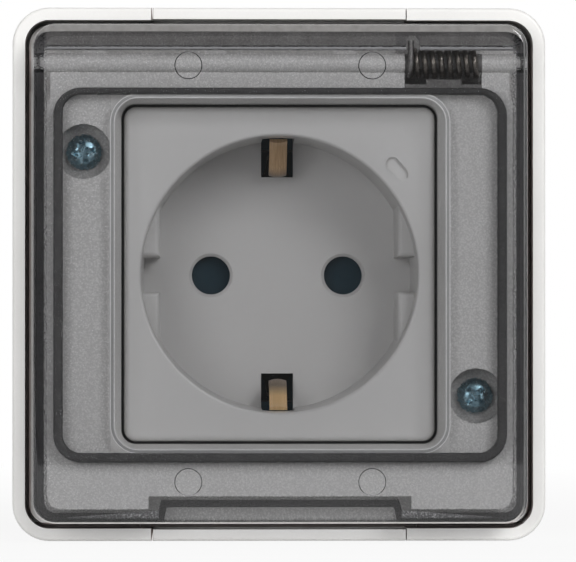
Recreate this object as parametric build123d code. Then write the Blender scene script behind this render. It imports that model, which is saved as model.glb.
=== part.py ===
from build123d import *
import math
import os

# Weatherproof surface socket with a hinged lid, sizes in mm.
# Each piece is drawn lying on its back: X right, Y up the wall, Z out of the wall.
# keep() stands it up, so the wall face is y = 0, the front looks to -Y and Z is up.

# clearances between pieces
slide_gap = 0.15
panel_gap = 0.40
seal_gap = 0.12
hinge_gap = 0.05
seat_gap = 0.03
drop_gap = 0.50
screw_play = 0.30
screw_fit = 0.02
weld = 0.20
spare = 1.0

# depth chain, measured from the wall
floor_front = 20.0
well_depth = 17.5
face_recess = 3.5
lid_space = 2.0
lid_plate = 2.2
lid_overhang = 8.8
flange_drop = 2.8
flange_thick = 1.6
seal_thick = 1.5
back_wall = 2.2

# surface box
box_corner = 5.2
rim_wall = 1.75
rim_round = 0.5
ledge_width = 1.7
ledge_thick = 2.0
wall_hole_r = 2.3
wall_hole_pitch = 54.0
post_r = 3.2
pilot_bite = 0.1
ear_post = 5.8
box_seal_inset = 0.35
box_seal_lap = 0.15

# cable-entry inserts and grommets
entry_width = 35.6
entry_wall = 1.6
entry_back = 9.0
entry_lap = 1.7
entry_centre = 20.0
entry_hole_r = 8.0
entry_recess_r = 9.6
entry_recess = 1.2
grommet_inset = 0.1
membrane = 0.7
cone_tip_r = 2.6
cone_tip = 5.2
cone_neck_r = 3.4
cone_neck = 3.4
cone_step_r = 4.6
cone_step = 3.2
cone_root_r = 6.4
grip_flange_r = 9.3
grip_flange = 1.2
mouth_flare_r = 6.6

# lid
lid_gap_x = 1.35
lid_gap_y = 1.0
lid_corner = 3.2
lid_skirt = 1.5
lid_edge_round = 0.8
lid_hinge_round = 1.1
window_side = 0.5
window_end = 0.55
window_corner = 3.9
window_step = 0.5
window_deep = 0.2
eject_r = 1.95
eject_x = 12.8
eject_inset = 4.25
eject_depth = 0.15
eject_draft = 0.13
grip_half = 16.3
grip_slope = 0.5
grip_depth = 2.25
grip_wall = 1.05
grip_room = 0.6
rail_from = 1.67
rail_r = 2.5
notch_shift = 0.3
notch_half = 0.95
wall_reach = 1.2

# lid seal
seal_side = 0.9
seal_end = 0.3
seal_centre_y = -0.2
seal_corner = 3.9
seal_band = 1.35
seal_groove = 0.6

# hinge
axis_drop = 3.82
rod_sink = 0.4
rod_r = 1.33
rod_bite = 0.6
rod_chamfer = 0.2
bore_play = 0.25
ear_r = 5.2
lug_inner = 9.0
lug_outer = 26.0
lug_inset = 2.3
lug_cut = 0.45
lug_width = 3.2
lug_r = 1.95
shelf_back = 0.9
trough_back = 2.45
trough_wall = 1.2
trough_floor = 1.0
shelf_thick = 2.8
shelf_wide = 4.0
ear_room = 0.45
ear_pocket = 3.6
pocket_web = 0.7

# closing spring
coil_r = 1.78
wire_r = 0.42
coil_pitch = 1.12
coil_turns = 8.25
coil_start = 18.20
coil_room = 0.75
tongue_in = 2.26
tongue_wide = 4.9
tongue_gap = 0.07
leg_up = 3.4
leg_back = 2.6
leg_swell = 0.015

# frame around the socket face
frame_border = 10.3
frame_corner = 2.0
open_corner = 2.0
bevel_x = 0.9
bevel_y = 0.6
bevel_depth = 3.3
collar_wall = 1.5
frame_plate = 2.2
frame_wall = 1.9
screw_shift = 0.05
screw_y = 17.05
head_r = 2.45
head_high = 1.8
head_round = 0.9
cross_long = 2.9
cross_wide = 0.55
cross_floor = 0.5
recess_r = 3.85
recess_depth = 3.5
recess_wall = 0.9
screw_r = 1.3
screw_long = 16.0

# socket face and plug well
face_gap = 0.40
face_side = 2.35
face_end = 4.0
face_corner = 1.7
face_seal_thick = 1.8
face_seal_play = 0.1
face_seal_inset = 0.25
face_round = 0.9
rim_r = 19.45
floor_r = 19.15
mouth_round = 0.45
well_wall = 1.6
floor_thick = 2.5
pin_pitch = 19.0
pin_hole_r = 2.75
pin_chamfer = 0.4
guide_half = 10.0
guide_chord = 16.75
guide_notch = 2.5
guide_front = 13.0
guide_round = 0.7
earth_half = 2.3
earth_in = 14.1
earth_high = 11.0
flange_lap = 1.5
flange_plate = 1.7
flange_corner = 3.0
dimple_long = 3.8
dimple_wide = 2.0
dimple_deep = 0.6
dimple_side = 5.3
dimple_end = 8.7
dimple_turn = -48

# shutter behind the pin holes
shutter_thick = 0.8
shutter_gap = 0.15
shutter_lobe_r = 3.3
shutter_hub_r = 2.6
shutter_arm = 1.7
pivot_r = 1.2

# contact base and metal parts
base_width = 38.0
base_height = 40.0
base_back = 4.5
base_web = 2.5
base_corner = 4.0
ear_hole_y = 25.0
ear_half = 4.2
ear_end = 3.6
ear_thick = 2.5
pocket_half = 5.0
pocket_end = 1.0
sleeve_wall = 0.68
sleeve_grip = 0.35
sleeve_short = 0.3
split_half = 0.35
strap = 1.2
strap_half = 2.6
strap_end = 3.1
strap_lap = 0.2
bracket_half = 2.3
clip_width = 2.5
clip_thick = 0.6
clip_y = 17.1
clip_bulge = 3.35
clip_flare = 2.2
clip_short = 0.8
clip_room = 1.1
block_w = 6.6
block_h = 6.0
block_deep = 7.0
block_round = 0.5
block_y = 9.6
wire_hole_r = 1.7
wire_bore_r = 1.5
wire_deep = 4.6
grub_r = 1.2
grub_from = 3.6
grub_head_r = 1.9
grub_head = 1.2
slot_half = 0.3
slot_deep = 0.7
tie_x = 11.5
tie_y = 12.5
tie_boss = 5.0
tie_boss_r = 2.6
tie_r = 1.05
tie_head_r = 2.4
tie_head = 1.5
tie_sink = 0.4
tie_bite = 1.2
fixing_r = 1.15
fixing_head_r = 2.6
fixing_head = 1.8
fixing_round = 0.6
fixing_tip = 1.0
fixing_cross = 3.0
fixing_slot = 0.6

face_front = floor_front + well_depth
frame_front = face_front + face_recess
lid_inside = frame_front + lid_space
lid_front = lid_inside + lid_plate
rim_front = lid_front - lid_overhang
flange_front = rim_front - flange_drop
flange_back = flange_front - flange_thick
ledge_front = flange_back - seal_thick
skirt_back = flange_front + panel_gap
axis_z = frame_front - rod_sink
face_w = 2 * (rim_r + face_side)
face_h = 2 * (rim_r + face_end)
open_width = face_w + 2 * face_gap
open_height = face_h + 2 * face_gap
frame_w = open_width + 2 * frame_border
lid_in_w = frame_w + 2 * panel_gap
lid_w = lid_in_w + 2 * lid_skirt
opening = lid_w + 2 * lid_gap_x
box_side = opening + 2 * rim_wall
open_r = box_corner - rim_wall
lid_h = opening - 2 * lid_gap_y
lid_in_h = lid_h - 2 * lid_skirt
frame_low = -lid_in_h / 2 + panel_gap
grip_in = -lid_h / 2 + grip_depth + grip_wall
axis_y = lid_in_h / 2 - axis_drop
eject_y = lid_in_h / 2 - eject_inset
window_width = open_width + 2 * (bevel_x + window_side)
window_height = open_height + 2 * (bevel_y + window_end)
seal_width = frame_w - 2 * seal_side
seal_height = open_height + 2 * (bevel_y + seal_end + seal_band)
lug_xs = (-lug_outer, -lug_inner, lug_inner, frame_w / 2 - lug_inset)
screw_x = (open_width + frame_border) / 2 + screw_shift
pilot_r = screw_r - pilot_bite
screw_spots = ((-screw_x, screw_y), (screw_x, -screw_y))
seat_z = frame_front - recess_depth
floor_back = floor_front - floor_thick
shutter_room = shutter_thick + 2 * shutter_gap
shutter_floor = floor_back - shutter_room
low = (Align.CENTER, Align.CENTER, Align.MIN)

os.makedirs("parts", exist_ok=True)


def plate(width, height, corner, z0, z1, x=0, y=0):
    return Pos(x, y, z0) * extrude(RectangleRounded(width, height, corner), z1 - z0)


def block(x0, x1, y0, y1, z0, z1):
    middle = Pos((x0 + x1) / 2, (y0 + y1) / 2, z0)
    return middle * Box(x1 - x0, y1 - y0, z1 - z0, align=low)


def post(radius, z0, z1, x=0, y=0):
    return Pos(x, y, z0) * Cylinder(radius, z1 - z0, align=low)


def taper(r0, r1, z0, z1, x=0, y=0):
    return Pos(x, y, z0) * Cone(r0, r1, z1 - z0, align=low)


def bar(radius, x0, x1, y, z):
    return Pos(x0, y, z) * Rot(0, 90, 0) * Cylinder(radius, x1 - x0, align=low)


def upright(radius, y0, y1, x, z):
    return Pos(x, y0, z) * Rot(-90, 0, 0) * Cylinder(radius, y1 - y0, align=low)


def front_edges(shape):
    return shape.faces().sort_by(Axis.Z)[-1].outer_wire().edges()


def keep(shape, name):
    export_step(Rot(90, 0, 0) * shape, "parts/" + name + ".step")


def several(shapes):
    group = shapes[0]
    for shape in shapes[1:]:
        group += shape
    return group


# surface box: one moulding with a rounded rim, a seal ledge and long screw posts
box = plate(box_side, box_side, box_corner, 0, rim_front)
box = fillet(front_edges(box), rim_round)
box -= plate(opening, opening, open_r, back_wall, rim_front + 1)
ledge = plate(opening + 2 * weld, opening + 2 * weld, open_r, ledge_front - ledge_thick, ledge_front)
ledge -= plate(opening - 2 * ledge_width, opening - 2 * ledge_width, open_r, 0, rim_front)
lap_half = entry_width / 2 + entry_lap + slide_gap
ledge -= block(-lap_half, lap_half, -box_side, box_side, 0, rim_front)
box += ledge
entry_room = entry_width / 2 + slide_gap
for side in (1, -1):
    y_in = side * (opening / 2 - 1)
    y_out = side * (box_side / 2 + 1)
    box -= block(-entry_room, entry_room, min(y_in, y_out), max(y_in, y_out), entry_back, rim_front + 1)
post_front = seat_z - frame_plate
for x, y in screw_spots:
    box += post(post_r, back_wall - weld, post_front, x, y)
    box -= post(pilot_r, seat_z - screw_long - spare, post_front + spare, x, y)
ear_back = back_wall + ear_post
for y in (ear_hole_y, -ear_hole_y):
    box += post(post_r, back_wall - weld, ear_back, 0, y)
    box -= post(pilot_r, back_wall + fixing_tip / 2, ear_back + spare, 0, y)
for x in (-0.5, 0.5):
    for y in (-0.5, 0.5):
        box -= post(wall_hole_r, -1, back_wall + 1, x * wall_hole_pitch, y * wall_hole_pitch)
keep(box, "surface_box")

# cable-entry inserts: a plate flush with the box wall and a wider flange behind it
wall_in = opening / 2 - entry_wall
wall_out = box_side / 2
entry_low = entry_back + slide_gap
entry_half = entry_width / 2
entry = block(-entry_half, entry_half, wall_out - entry_wall, wall_out, entry_low, rim_front)
rim_edge = entry.edges().filter_by(Axis.X).sort_by(lambda e: e.center().Y + e.center().Z)[-1:]
entry = fillet(rim_edge, rim_round)
entry += block(-entry_half, entry_half, wall_in, wall_out, entry_low, ledge_front)
lap = entry_width / 2 + entry_lap
entry += block(-lap, lap, wall_in, opening / 2 - seat_gap, entry_back - entry_lap, ledge_front)
entry -= upright(entry_hole_r, 0, box_side, 0, entry_centre)
entry -= upright(entry_recess_r, wall_out - entry_recess, box_side, 0, entry_centre)
keep(entry, "top_entry_insert")
keep(Rot(0, 0, 180) * entry, "bottom_entry_insert")

# membrane grommets: two flanges that grip the insert and a thin stepped cone
neck_r = entry_hole_r - seat_gap
flange_out = wall_out - grommet_inset
lip_r = entry_recess_r - grommet_inset
lip = wall_out - entry_recess
outline = [
    (0, wall_in - cone_tip),
    (cone_tip_r, wall_in - cone_tip),
    (cone_neck_r, wall_in - cone_neck),
    (cone_step_r, wall_in - cone_step),
    (cone_root_r, wall_in - grip_flange),
    (grip_flange_r, wall_in - grip_flange),
    (grip_flange_r, wall_in),
    (neck_r, wall_in),
    (neck_r, lip),
    (lip_r, lip),
    (lip_r, flange_out),
    (mouth_flare_r, flange_out),
    (cone_root_r - membrane, wall_in - grip_flange + membrane / 2),
    (cone_step_r - membrane, wall_in - cone_step + membrane),
    (cone_neck_r - membrane, wall_in - cone_neck + membrane),
    (cone_tip_r - membrane, wall_in - cone_tip + membrane),
    (0, wall_in - cone_tip + membrane),
]
ring = revolve(make_face(Polyline(*outline, close=True)), Axis.Y)
grommet = Pos(0, 0, entry_centre) * ring
keep(grommet, "top_grommet")
keep(Rot(0, 0, 180) * grommet, "bottom_grommet")

# box seal: the rubber ring pinched between the box ledge and the frame flange
out_side = opening - 2 * box_seal_inset
in_side = opening - 2 * (ledge_width - box_seal_lap)
box_seal = plate(out_side, out_side, open_r - box_seal_inset, ledge_front, flange_back)
box_seal -= plate(in_side, in_side, open_r - ledge_width + box_seal_lap, 0, rim_front)
keep(box_seal, "box_seal")

# cover frame: raised platform, flange, bevelled opening, screw wells and hinge shelf
flange_side = opening - 2 * drop_gap
shelf_y = axis_y - shelf_back
frame_h = shelf_y - frame_low
frame_mid = (shelf_y + frame_low) / 2
frame = plate(frame_w, frame_h, frame_corner, flange_back, frame_front, 0, frame_mid)
hinge_low = axis_y - ear_r
ear_x = frame_w / 2 - ear_room
for side in (1, -1):
    x_in = side * ear_x
    x_out = side * frame_w
    frame -= block(min(x_in, x_out), max(x_in, x_out), hinge_low, box_side, flange_back, box_side)
frame += block(-ear_x, ear_x, shelf_y - shelf_wide, shelf_y, flange_back, frame_front)
frame += plate(flange_side, flange_side, open_r - drop_gap, flange_back, flange_front)
trough_y = axis_y - trough_back
trough_front = flange_back + trough_floor
shelf_low = frame_front - shelf_thick
ear_floor = flange_back + pocket_web
frame -= block(-box_side, box_side, trough_y, box_side, trough_front, shelf_low)
for side in (1, -1):
    x_in = side * ear_x
    x_out = side * box_side
    ear_low = axis_y - ear_pocket
    frame -= block(min(x_in, x_out), max(x_in, x_out), ear_low, box_side, ear_floor, rim_front)
recess_half = grip_half + grip_wall + panel_gap + grip_room
recess_y = grip_in + panel_gap
frame -= block(-recess_half, recess_half, -box_side, recess_y, flange_front, frame_front + 1)
under = frame_front - frame_plate
cave_w = frame_w / 2 - frame_wall
cave = block(-cave_w, cave_w, recess_y + frame_wall, trough_y - trough_wall, 0, under)
for side in (1, -1):
    x_in = side * (recess_half + frame_wall)
    x_out = side * cave_w
    cave += block(min(x_in, x_out), max(x_in, x_out), frame_low + frame_wall, 0, 0, under)
frame -= cave
collar_back = seat_z - frame_plate
collar_w = open_width + 2 * collar_wall
collar_h = open_height + 2 * collar_wall
frame += plate(collar_w, collar_h, open_corner + collar_wall, collar_back, under + weld)
for x, y in screw_spots:
    frame += post(recess_r + recess_wall, collar_back, under + weld, x, y)
bevel_back = frame_front - bevel_depth
frame -= plate(open_width, open_height, open_corner, 0, bevel_back + 0.01)
small = Pos(0, 0, bevel_back) * RectangleRounded(open_width, open_height, open_corner)
large_w = open_width + 2 * bevel_x
large_h = open_height + 2 * bevel_y
large = Pos(0, 0, frame_front + 0.01) * RectangleRounded(large_w, large_h, open_corner + bevel_y)
frame -= loft([small, large])
for x, y in screw_spots:
    frame -= post(recess_r, seat_z, frame_front + 1, x, y)
    frame -= post(screw_r + screw_play, 0, frame_front, x, y)
for x in lug_xs:
    lug = bar(lug_r, x - lug_width / 2, x + lug_width / 2, axis_y, axis_z)
    lug -= block(-box_side, box_side, 0, box_side, axis_z - lug_cut, box_side)
    frame += lug
frame -= bar(rod_r + seat_gap, -box_side, box_side, axis_y, axis_z)
pocket_low = axis_y - coil_r - wire_r - coil_room
pocket_right = coil_start + coil_turns * coil_pitch + coil_room
pocket_back = trough_front
frame -= block(coil_start - coil_room, pocket_right, pocket_low, box_side, pocket_back, frame_front + spare)
tongue_y = axis_y - coil_r - wire_r - tongue_gap
tongue_x = coil_start + tongue_in
frame += block(tongue_x, tongue_x + tongue_wide, pocket_low - weld, tongue_y, shelf_low, frame_front)
keep(frame, "cover_frame")

# cover screws: domed cross-recess heads at the bottom of the screw wells
screw = post(head_r, seat_z, seat_z + head_high)
screw = fillet(front_edges(screw), head_round)
screw += post(pilot_r - screw_fit, seat_z - screw_long, seat_z)
for turn in (0, 90):
    groove = Rot(0, 0, turn) * Box(cross_long, cross_wide, head_high, align=low)
    screw -= Pos(0, 0, seat_z + cross_floor) * groove
cover_screws = []
for spot, turn in zip(screw_spots, (12, 43)):
    cover_screws.append(Pos(spot[0], spot[1], 0) * Rot(0, 0, turn) * screw)
keep(several(cover_screws), "cover_screws")

# hinge rod: lies in the frame's shelf, with its ends in the lid's side walls
rod_end = lid_in_w / 2 + rod_bite
rod = bar(rod_r, -rod_end, rod_end, axis_y, axis_z)
rod = chamfer(rod.edges().filter_by(GeomType.CIRCLE), rod_chamfer)
keep(rod, "hinge_rod")

# closing spring: a torsion coil on the rod, one leg on the lid and one in the hinge trough
leg_r = wire_r + leg_swell
helix = Helix(coil_pitch, coil_pitch * coil_turns, coil_r)
start = Plane(origin=helix @ 0, z_dir=helix % 0)
coil = sweep(start * Circle(wire_r), path=helix, is_frenet=True)
coil = Pos(coil_start, axis_y, axis_z) * Rot(0, 90, 0) * Rot(0, 0, 180) * coil
leg = Rot(-86, 0, 0) * Cylinder(leg_r, leg_up, align=low)
spring_up = Pos(coil_start, axis_y - weld / 2, axis_z + coil_r) * leg
coil_end = coil_start + coil_pitch * coil_turns
spring_back = post(leg_r, axis_z - leg_back, axis_z + weld / 2, coil_end, axis_y - coil_r)
keep(coil + spring_up + spring_back, "hinge_spring")

# lid: smoke-tinted plate with a skirt, a thick rail along the hinge and a finger grip
lid = plate(lid_w, lid_h, lid_corner, skirt_back, lid_front)
lid = fillet(front_edges(lid), lid_edge_round)
round_y = lid_h / 2 - lid_hinge_round
round_z = lid_front - lid_hinge_round
shave = block(-box_side, box_side, round_y, box_side, round_z, box_side)
shave -= bar(lid_hinge_round, -2 * box_side, 2 * box_side, round_y, round_z)
lid -= shave
lid -= plate(lid_in_w, lid_in_h, lid_corner - lid_skirt, skirt_back - 1, lid_inside)
grip_low = -lid_h / 2
cut_y = grip_low + grip_depth
grip_cut = Polyline(
    (-grip_half - 1, grip_low - 1),
    (-grip_half, grip_low),
    (-grip_half + grip_slope, cut_y),
    (grip_half - grip_slope, cut_y),
    (grip_half, grip_low),
    (grip_half + 1, grip_low - 1),
    close=True,
)
step = grip_wall
grip_skin = Polyline(
    (-grip_half - step, grip_low + 2 * weld),
    (-grip_half + grip_slope - step * 0.7, cut_y + step),
    (grip_half - grip_slope + step * 0.7, cut_y + step),
    (grip_half + step, grip_low + 2 * weld),
    close=True,
)
lid += Pos(0, 0, skirt_back) * extrude(make_face(grip_skin), lid_inside + weld / 2 - skirt_back)
lid -= Pos(0, 0, skirt_back - 1) * extrude(make_face(grip_cut), lid_inside + 1 - skirt_back)
lid -= block(-lid_in_w / 2, lid_in_w / 2, axis_y, box_side, 0, axis_z - wall_reach)
ears = block(-box_side, box_side, axis_y, box_side, 0, axis_z)
ears -= bar(ear_r, -box_side, box_side, axis_y, axis_z)
lid -= ears
bore_end = rod_end + bore_play
lid -= bar(rod_r + hinge_gap, -bore_end, bore_end, axis_y, axis_z)
groove_front = lid_inside + seal_groove
groove = plate(seal_width, seal_height, seal_corner, frame_front, groove_front, 0, seal_centre_y)
in_w = seal_width - 2 * seal_band
in_h = seal_height - 2 * seal_band
groove -= plate(in_w, in_h, seal_corner - seal_band, 0, box_side, 0, seal_centre_y)
lid -= groove
near = Pos(0, 0, lid_inside - 0.01) * RectangleRounded(window_width, window_height, window_corner)
far_w = window_width - 2 * window_step
far_h = window_height - 2 * window_step
far = Pos(0, 0, lid_inside + window_deep) * RectangleRounded(far_w, far_h, window_corner - window_step)
lid -= loft([near, far])
for x in (-eject_x, eject_x):
    for y in (-eject_y, eject_y):
        lid -= taper(eject_r, eject_r - eject_draft, lid_inside - 0.01, lid_inside + eject_depth, x, y)
rail_w = lid_in_w / 2 + weld
rail_end = lid_in_h / 2 + weld
rail = block(-rail_w, rail_w, axis_y + rail_from, rail_end, axis_z, lid_inside + weld)
rail -= bar(rail_r, -box_side, box_side, axis_y, axis_z)
notch_x = coil_start + notch_shift
notch_end = lid_in_h / 2 - notch_half
rail -= block(notch_x - notch_half, notch_x + notch_half, 0, notch_end, 0, lid_inside)
rail -= post(notch_half, 0, lid_inside, notch_x, notch_end)
lid += rail
keep(lid, "lid")

# lid seal: a soft ring in the lid's groove that meets the platform
lid_seal = plate(seal_width, seal_height, seal_corner, frame_front + seal_gap, lid_inside + seal_groove)
lid_seal -= plate(in_w, in_h, seal_corner - seal_band, 0, box_side)
keep(Pos(0, seal_centre_y, 0) * lid_seal, "lid_seal")

# socket face: front plate, clamping flange and the round plug well in one moulding
flange_top = collar_back - face_seal_thick
face = plate(face_w, face_h, face_corner, flange_top - weld, face_front)
face = fillet(front_edges(face), face_round)
lap_w = open_width + 2 * flange_lap
lap_h = open_height + 2 * flange_lap
face += plate(lap_w, lap_h, flange_corner, flange_top - flange_plate, flange_top)
face += taper(floor_r + well_wall, rim_r + well_wall, floor_back, flange_top)
face -= taper(floor_r, rim_r, floor_front, face_front)
mouth = face.edges().filter_by(GeomType.CIRCLE).group_by(Axis.Z)[-1]
face = fillet(mouth.sort_by(SortBy.RADIUS)[-1:], mouth_round)
guide_top = floor_front + guide_front
for side in (1, -1):
    for up in (1, -1):
        x0 = min(side * guide_chord, side * (rim_r + 1))
        x1 = max(side * guide_chord, side * (rim_r + 1))
        y0 = min(up * guide_notch, up * guide_half)
        y1 = max(up * guide_notch, up * guide_half)
        guide = block(x0, x1, y0, y1, floor_front - floor_thick / 2, guide_top)
        guide = fillet(guide.faces().sort_by(Axis.Z)[-1].edges(), guide_round)
        guide &= taper(floor_r + well_wall / 2, rim_r + well_wall / 2, floor_back, face_front)
        face += guide
for up in (1, -1):
    y0 = min(up * earth_in, up * (floor_r + well_wall + 1))
    y1 = max(up * earth_in, up * (floor_r + well_wall + 1))
    face -= block(-earth_half, earth_half, y0, y1, 0, floor_front + earth_high)
for x in (-pin_pitch / 2, pin_pitch / 2):
    face -= post(pin_hole_r, 0, face_front, x, 0)
    face -= taper(pin_hole_r, pin_hole_r + pin_chamfer, floor_front - pin_chamfer, floor_front + 0.001, x, 0)
face += post(pivot_r, shutter_floor + shutter_gap / 2, floor_back + weld)
tie_spots = ((-tie_x, -tie_y), (tie_x, tie_y))
tie_back = floor_back - tie_boss
tie_hole_r = tie_r + screw_fit
for x, y in tie_spots:
    face += post(tie_boss_r, tie_back, floor_back + weld, x, y)
    face -= post(tie_hole_r, 0, floor_back + tie_bite, x, y)
dimple_spot = Pos(face_w / 2 - dimple_side, face_h / 2 - dimple_end, face_front - dimple_deep)
dimple = dimple_spot * Rot(0, 0, dimple_turn) * extrude(SlotOverall(dimple_long, dimple_wide), spare)
face -= dimple
keep(face, "socket_face")

# face seal: the black ring seen in the gap around the socket face
ring_w = lap_w - 2 * face_seal_inset
ring_h = lap_h - 2 * face_seal_inset
face_seal = plate(ring_w, ring_h, flange_corner - face_seal_inset, flange_top, collar_back)
hole_w = face_w + 2 * face_seal_play
hole_h = face_h + 2 * face_seal_play
face_seal -= plate(hole_w, hole_h, face_corner + face_seal_play, 0, box_side)
keep(face_seal, "face_seal")

# shutter: a two-lobed plate that turns on a pivot behind the well floor and covers both pin holes
half = pin_pitch / 2
shutter_back = shutter_floor + shutter_gap
shutter_front = floor_back - shutter_gap
shutter = post(shutter_hub_r, shutter_back, shutter_front)
shutter += block(-half, half, -shutter_arm, shutter_arm, shutter_back, shutter_front)
for x in (-half, half):
    shutter += post(shutter_lobe_r, shutter_back, shutter_front, x, 0)
shutter -= post(pivot_r + hinge_gap, 0, box_side)
keep(shutter, "shutter")

# contact base: insulating body with pockets for the contacts and two fixing ears
pocket_floor = base_back + base_web
tie_seat = base_back + tie_sink + tie_head
base = plate(base_width, base_height, base_corner, base_back, floor_back)
ear_y = ear_hole_y + ear_end
base += block(-ear_half, ear_half, -ear_y, ear_y, ear_back, ear_back + ear_thick)
for y in (ear_hole_y, -ear_hole_y):
    base -= post(screw_r + screw_play, 0, box_side, 0, y)
base -= post(half + shutter_lobe_r + screw_play, shutter_floor, floor_back + spare)
pocket_y = block_y + block_h / 2 + pocket_end
pocket = block(-pocket_half, pocket_half, -pocket_half, pocket_y, pocket_floor, floor_back + spare)
pocket = Pos(-half, 0, 0) * pocket
base -= pocket
base -= Rot(0, 0, 180) * pocket
slot_x = block_w / 2 + screw_play
slot_y = clip_y + clip_room
base -= block(-slot_x, slot_x, -slot_y, slot_y, pocket_floor, floor_back + spare)
for x, y in tie_spots:
    base -= post(tie_boss_r + slide_gap, tie_back, floor_back + spare, x, y)
    base -= post(tie_r + screw_play, 0, tie_back + spare, x, y)
    base -= post(tie_head_r + screw_play, 0, tie_seat, x, y)
wire_spots = ((-half, block_y), (half, -block_y), (0, 0))
for x, y in wire_spots:
    base -= post(wire_hole_r, 0, pocket_floor + spare, x, y)
keep(base, "contact_base")

# line and neutral contacts: split sleeves on a strap that runs to the terminal
sleeve_r = pin_hole_r - sleeve_grip
sleeve_back = pocket_floor + strap
contact = post(sleeve_r + sleeve_wall, sleeve_back - weld / 2, shutter_floor - sleeve_short)
contact -= post(sleeve_r, 0, floor_back)
contact -= block(-split_half, split_half, -pocket_half, 0, sleeve_back, floor_back)
strap_far = block_y + block_h / 2 + strap_lap
contact += block(-strap_half, strap_half, -strap_end, strap_far, pocket_floor, sleeve_back)
contact -= post(wire_hole_r, 0, sleeve_back + spare, 0, block_y)
keep(Pos(-half, 0, 0) * contact, "line_contact")
keep(Pos(half, 0, 0) * Rot(0, 0, 180) * contact, "neutral_contact")

# terminals: brass blocks with a wire hole from behind and a clamping screw
terminal = block(-block_w / 2, block_w / 2, -block_h / 2, block_h / 2, 0, block_deep)
terminal = fillet(terminal.edges().filter_by(Axis.Z), block_round)
terminal -= post(wire_bore_r, -spare, wire_deep)
terminal -= post(grub_r + hinge_gap, 0, block_deep + spare)
block_back = sleeve_back
keep(Pos(-half, block_y, block_back) * terminal, "line_terminal")
keep(Pos(half, -block_y, block_back) * terminal, "neutral_terminal")
keep(Pos(0, 0, block_back) * terminal, "earth_terminal")
grub = post(grub_r, grub_from, block_deep)
grub_top = block_deep + grub_head
grub += post(grub_head_r, block_deep, grub_top)
grub -= block(-block_w, block_w, -slot_half, slot_half, grub_top - slot_deep, grub_top + spare)
keep(several([Pos(x, y, block_back) * grub for x, y in wire_spots]), "terminal_screws")

# earth bracket: a brass strap across the base with a sprung clip at each end
clip_line = []
for i in range(17):
    t = i / 16
    z = pocket_floor + t * (floor_front + earth_high - clip_short - pocket_floor)
    lift = max(0, (z - floor_back) / (floor_front + earth_high - floor_back))
    y = clip_y - clip_bulge * math.sin(math.pi * min(1, lift * 1.15)) + clip_flare * lift ** 3
    clip_line.append((y, z))
right = []
left = []
for i in range(17):
    a = clip_line[max(i - 1, 0)]
    b = clip_line[min(i + 1, 16)]
    size = math.hypot(b[0] - a[0], b[1] - a[1])
    ny = (b[1] - a[1]) / size * clip_thick / 2
    nz = -(b[0] - a[0]) / size * clip_thick / 2
    right.append((0, clip_line[i][0] + ny, clip_line[i][1] + nz))
    left.append((0, clip_line[i][0] - ny, clip_line[i][1] - nz))
skin = make_face(Polyline(*right, *reversed(left), close=True))
clip = extrude(skin, clip_width / 2, dir=(1, 0, 0), both=True)
bracket_end = clip_y + strap_lap
bracket = block(-bracket_half, bracket_half, -bracket_end, bracket_end, pocket_floor, sleeve_back)
bracket -= post(wire_hole_r, 0, box_side)
bracket += clip
bracket += Rot(0, 0, 180) * clip
keep(bracket, "earth_bracket")

# tie screws join the base to the face, fixing screws hold the base's ears to the box
tie_low = base_back + tie_sink
tie = post(tie_head_r, tie_low, tie_seat)
tie += post(tie_r, tie_seat - weld, floor_back)
tie -= block(-block_w, block_w, -slot_half, slot_half, 0, tie_low + slot_deep)
keep(several([Pos(x, y, 0) * tie for x, y in tie_spots]), "tie_screws")
ear_front = ear_back + ear_thick
fixing = post(fixing_head_r, ear_front, ear_front + fixing_head)
fixing = fillet(front_edges(fixing), fixing_round)
fixing += post(fixing_r, back_wall + fixing_tip, ear_front + weld / 2)
for turn in (45, 135):
    groove = Rot(0, 0, turn) * Box(fixing_cross, fixing_slot, fixing_head, align=low)
    fixing -= Pos(0, 0, ear_front + slot_deep) * groove
keep(several([Pos(0, y, 0) * fixing for y in (ear_hole_y, -ear_hole_y)]), "fixing_screws")
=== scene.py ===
import math
import bmesh
import bpy
import numpy as np
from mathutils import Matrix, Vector


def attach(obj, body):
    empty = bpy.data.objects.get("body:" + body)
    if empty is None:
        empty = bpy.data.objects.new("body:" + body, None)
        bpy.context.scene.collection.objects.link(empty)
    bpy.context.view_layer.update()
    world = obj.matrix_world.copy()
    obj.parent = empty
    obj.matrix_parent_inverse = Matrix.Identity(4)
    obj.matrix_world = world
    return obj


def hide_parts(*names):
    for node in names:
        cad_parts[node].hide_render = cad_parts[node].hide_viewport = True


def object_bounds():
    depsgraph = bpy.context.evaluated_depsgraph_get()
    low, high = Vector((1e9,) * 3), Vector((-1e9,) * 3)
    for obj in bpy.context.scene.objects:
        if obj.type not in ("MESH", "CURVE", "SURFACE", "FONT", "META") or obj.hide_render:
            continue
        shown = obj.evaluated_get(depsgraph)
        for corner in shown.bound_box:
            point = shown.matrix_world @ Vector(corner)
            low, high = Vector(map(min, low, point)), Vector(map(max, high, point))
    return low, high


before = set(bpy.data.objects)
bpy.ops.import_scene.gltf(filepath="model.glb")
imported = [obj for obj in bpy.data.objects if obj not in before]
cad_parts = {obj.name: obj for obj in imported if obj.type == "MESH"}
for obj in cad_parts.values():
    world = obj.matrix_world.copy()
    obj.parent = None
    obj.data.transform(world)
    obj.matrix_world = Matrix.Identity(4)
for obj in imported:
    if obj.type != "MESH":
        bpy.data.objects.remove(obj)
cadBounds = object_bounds()
print("frame loaded:", len(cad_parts), "nodes")

mm = 0.001
colourKind = "NodeSocketColor"
floatKind = "NodeSocketFloat"
vectorKind = "NodeSocketVector"


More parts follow.
